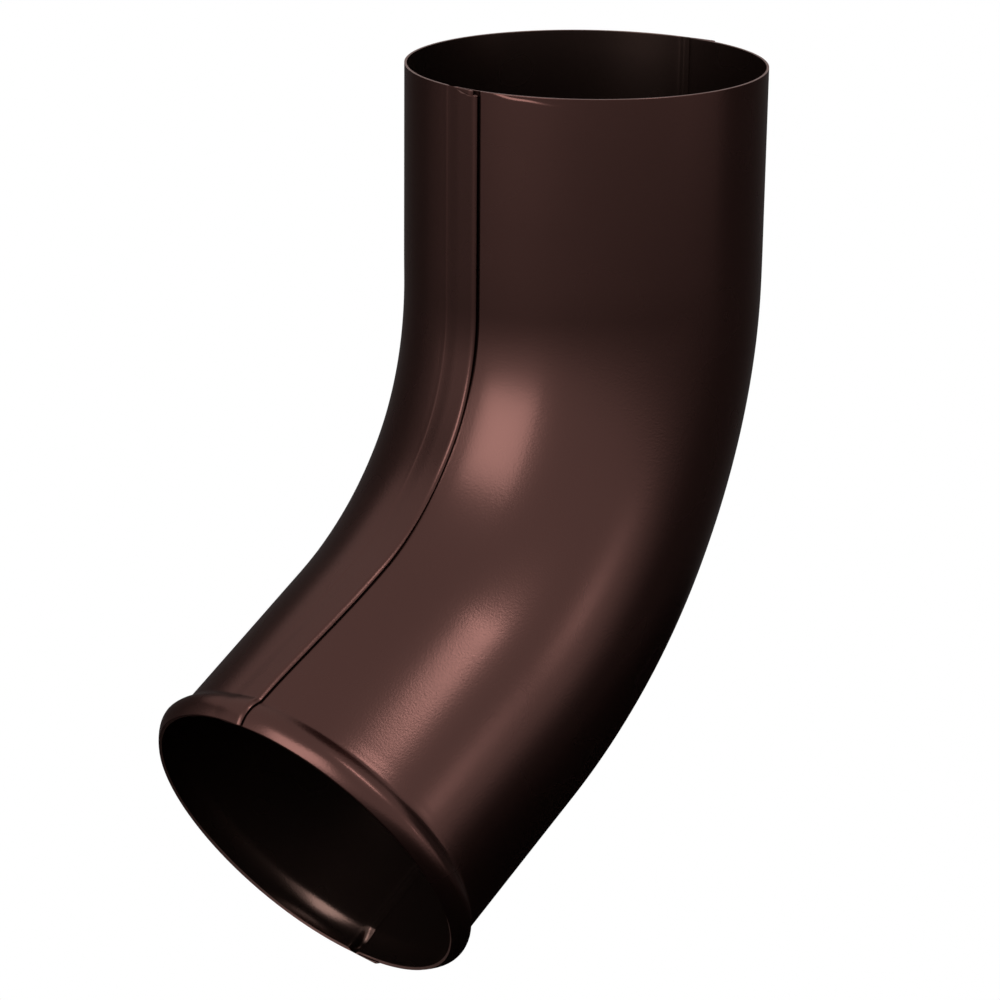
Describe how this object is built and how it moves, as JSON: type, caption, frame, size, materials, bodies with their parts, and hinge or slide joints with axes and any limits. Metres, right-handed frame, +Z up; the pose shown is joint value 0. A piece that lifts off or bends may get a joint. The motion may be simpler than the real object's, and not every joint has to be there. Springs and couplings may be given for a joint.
{
  "type": "downspout elbow",
  "caption": "Round sheet-steel downspout elbow with a straight inlet socket, a swept bend, folded lock seams along throat and back, and a rolled bead at the mouth.",
  "frame": {"origin": "centre of the inlet rim, on the inlet's axis", "axes": "+Z up along the inlet's axis and out of it, outlet turned towards +X, bend plane XZ"},
  "size_m": [0.1748, 0.0936, 0.2201],
  "materials": {
    "coated_steel": "satin"
  },
  "bodies": {
    "root": {"lapping_half_shell": "coated_steel", "hooked_half_shell": "coated_steel"}
  },
  "joints": []
}
